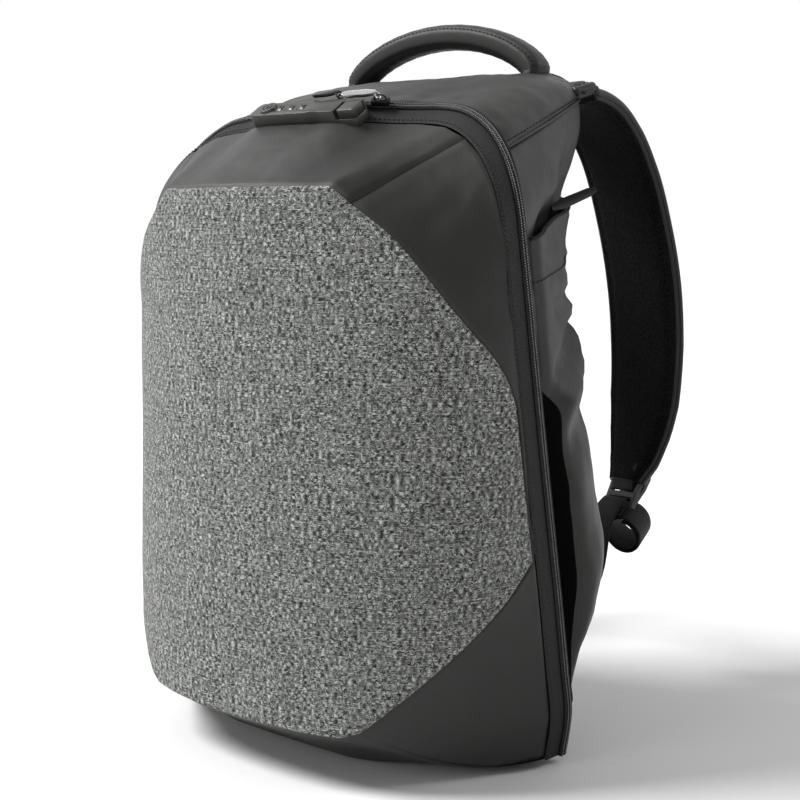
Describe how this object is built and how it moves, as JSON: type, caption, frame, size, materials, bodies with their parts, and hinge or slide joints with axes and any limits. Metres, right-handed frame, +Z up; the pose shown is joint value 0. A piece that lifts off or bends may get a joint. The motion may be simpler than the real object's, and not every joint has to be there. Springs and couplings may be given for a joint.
{
  "type": "backpack",
  "caption": "Slim upright backpack with a faceted front flap closed by an over-the-top zip, a combination lock, a carrying handle and padded shoulder straps.",
  "frame": {"origin": "on the floor under the bag, in the flat part of its underside", "axes": "+Z up, -Y towards the front flap, +X to the viewer's right when the flap is seen from the front"},
  "size_m": [0.3432, 0.3684, 0.4915],
  "materials": {
    "melange_panel": "matte grey melange weave with fine zigzag streaks",
    "coated_fabric": "dark grey coated polyester with a fine twill emboss and a soft sheen",
    "zip_tape": "dark woven tape",
    "zip_teeth": "black coil, slightly glossy",
    "padded_mesh": "black padded mesh",
    "webbing": "black ribbed webbing",
    "plastic": "dark grey moulded plastic",
    "lock_metal": "satin dark gunmetal",
    "dial": "black",
    "gunmetal": "dark gunmetal, glossy",
    "chrome": "bright chrome"
  },
  "bodies": {
    "bag": {"front_panel": "melange_panel", "flap_side_right": "coated_fabric", "flap_side_left": "coated_fabric", "flap_top": "coated_fabric", "underside": "coated_fabric", "side_wall_right": "coated_fabric", "side_wall_left": "coated_fabric", "top_wall": "coated_fabric", "side_pocket_right": "coated_fabric", "side_pocket_left": "coated_fabric", "top_handle": "coated_fabric", "strap_anchor_right": "coated_fabric", "strap_anchor_left": "coated_fabric", "zip_tape": "zip_tape", "zip_teeth": "zip_teeth", "back_panel": "padded_mesh", "shoulder_strap_right": "padded_mesh", "shoulder_strap_left": "padded_mesh", "lower_webbing_right": "webbing", "lower_webbing_left": "webbing", "webbing_tail_right": "webbing", "webbing_tail_left": "webbing", "strap_buckle_right": "plastic", "strap_buckle_left": "plastic", "lock_body": "lock_metal", "slider_near": "gunmetal", "slider_far": "gunmetal", "puller_far": "gunmetal", "pocket_puller_right": "gunmetal", "pocket_puller_left": "gunmetal", "puller_near": "chrome"},
    "dial_1": {"lock_dial_1": "dial"},
    "dial_2": {"lock_dial_2": "dial"},
    "dial_3": {"lock_dial_3": "dial"},
    "key_core": {"lock_core": "lock_metal"},
    "release_button": {"lock_button": "lock_metal"}
  },
  "joints": [
    {"name": "dial_1_spin", "type": "hinge", "parent": "bag", "child": "dial_1", "pos_m": [-0.0188, -0.06585, 0.42145], "axis": [1, 0, 0], "continuous": true},
    {"name": "dial_2_spin", "type": "hinge", "parent": "bag", "child": "dial_2", "pos_m": [-0.009, -0.06585, 0.42145], "axis": [1, 0, 0], "continuous": true},
    {"name": "dial_3_spin", "type": "hinge", "parent": "bag", "child": "dial_3", "pos_m": [0.0008, -0.06585, 0.42145], "axis": [1, 0, 0], "continuous": true},
    {"name": "key_turn", "type": "hinge", "parent": "bag", "child": "key_core", "pos_m": [-0.029, -0.06769, 0.42428], "axis": [0, -0.5446, 0.8387], "range_deg": [0, 90]},
    {"name": "release_push", "type": "slide", "parent": "bag", "child": "release_button", "axis": [-1, 0, 0], "range_m": [0, 0.002], "stiffness_N_per_m": 400, "springref_m": -0.001}
  ]
}
